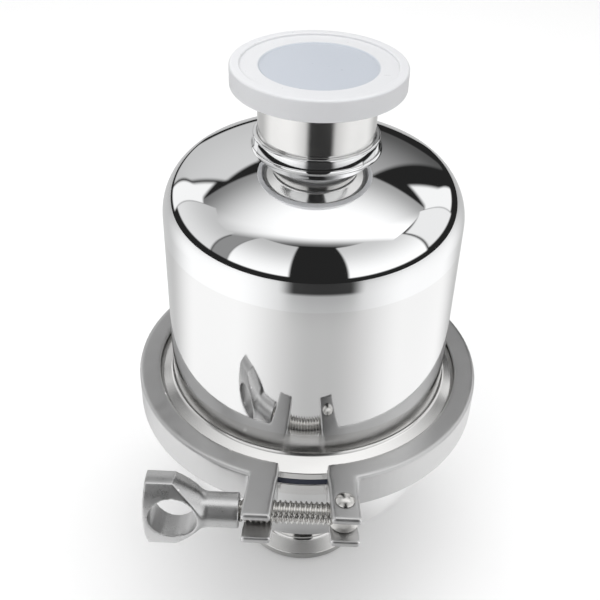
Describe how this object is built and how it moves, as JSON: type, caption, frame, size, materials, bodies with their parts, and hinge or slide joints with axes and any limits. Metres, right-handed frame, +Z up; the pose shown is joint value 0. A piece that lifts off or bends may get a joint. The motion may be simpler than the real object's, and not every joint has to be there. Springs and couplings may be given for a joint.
{
  "type": "sanitary inline strainer",
  "caption": "Upright inline strainer housing with dished ends, clamp ferrules, a hinged ring clamp with swing bolt and an eye nut, and a protective inlet cap.",
  "frame": {"origin": "centre of the outlet ferrule's face, on which the strainer stands", "axes": "+Z up along the housing's axis from outlet to inlet, clamp ears and bolt towards -Y"},
  "size_m": [0.127, 0.1498, 0.2075],
  "materials": {
    "mirror_steel": "mirror polished",
    "satin_steel": "fine satin polish",
    "turned_steel": "turned, fine concentric lay",
    "cast_steel": "investment cast, fine blasted",
    "bolt_steel": "machined, bright",
    "inner_steel": "machined",
    "mesh_steel": "woven mesh",
    "seal_rubber": "dark, satin",
    "cap_plastic": "milky, soft sheen"
  },
  "bodies": {
    "housing": {"inlet_ferrule": "turned_steel", "dome_head": "mirror_steel", "body_tube": "satin_steel", "body_flange": "turned_steel", "body_gasket": "seal_rubber", "lower_flange": "turned_steel", "lower_bowl": "satin_steel", "outlet_ferrule": "turned_steel", "clamp_half_right": "cast_steel", "clamp_hinge_pin": "bolt_steel", "bolt_rivet": "bolt_steel", "strainer_socket": "inner_steel", "strainer_base": "inner_steel", "spigot_oring": "seal_rubber", "screen_tube": "inner_steel", "mesh_sleeve": "mesh_steel", "strainer_top": "inner_steel", "strainer_handle": "inner_steel"},
    "cap": {"inlet_cap": "cap_plastic"},
    "left_clamp": {"clamp_half_left": "cast_steel"},
    "bolt": {"swing_bolt": "bolt_steel"},
    "nut": {"eye_nut": "cast_steel"}
  },
  "joints": [
    {"name": "cap_lift", "type": "slide", "parent": "housing", "child": "cap", "axis": [0, 0, 1], "range_m": [0, 0.04]},
    {"name": "clamp_open", "type": "hinge", "parent": "housing", "child": "left_clamp", "pos_m": [0, 0.0668, 0.08283], "axis": [0, 0, -1], "range_deg": [0, 4.2]},
    {"name": "bolt_swing", "type": "hinge", "parent": "housing", "child": "bolt", "pos_m": [0.0139, -0.0705, 0.08283], "axis": [0, 0, 1], "range_deg": [0, 150]},
    {"name": "nut_travel", "type": "slide", "parent": "bolt", "child": "nut", "axis": [-1, 0, 0], "range_m": [0, 0.011]}
  ],
  "couplings": [
    {"joint": "nut_travel", "follows": "clamp_open", "m_per_rad": 0.15}
  ]
}
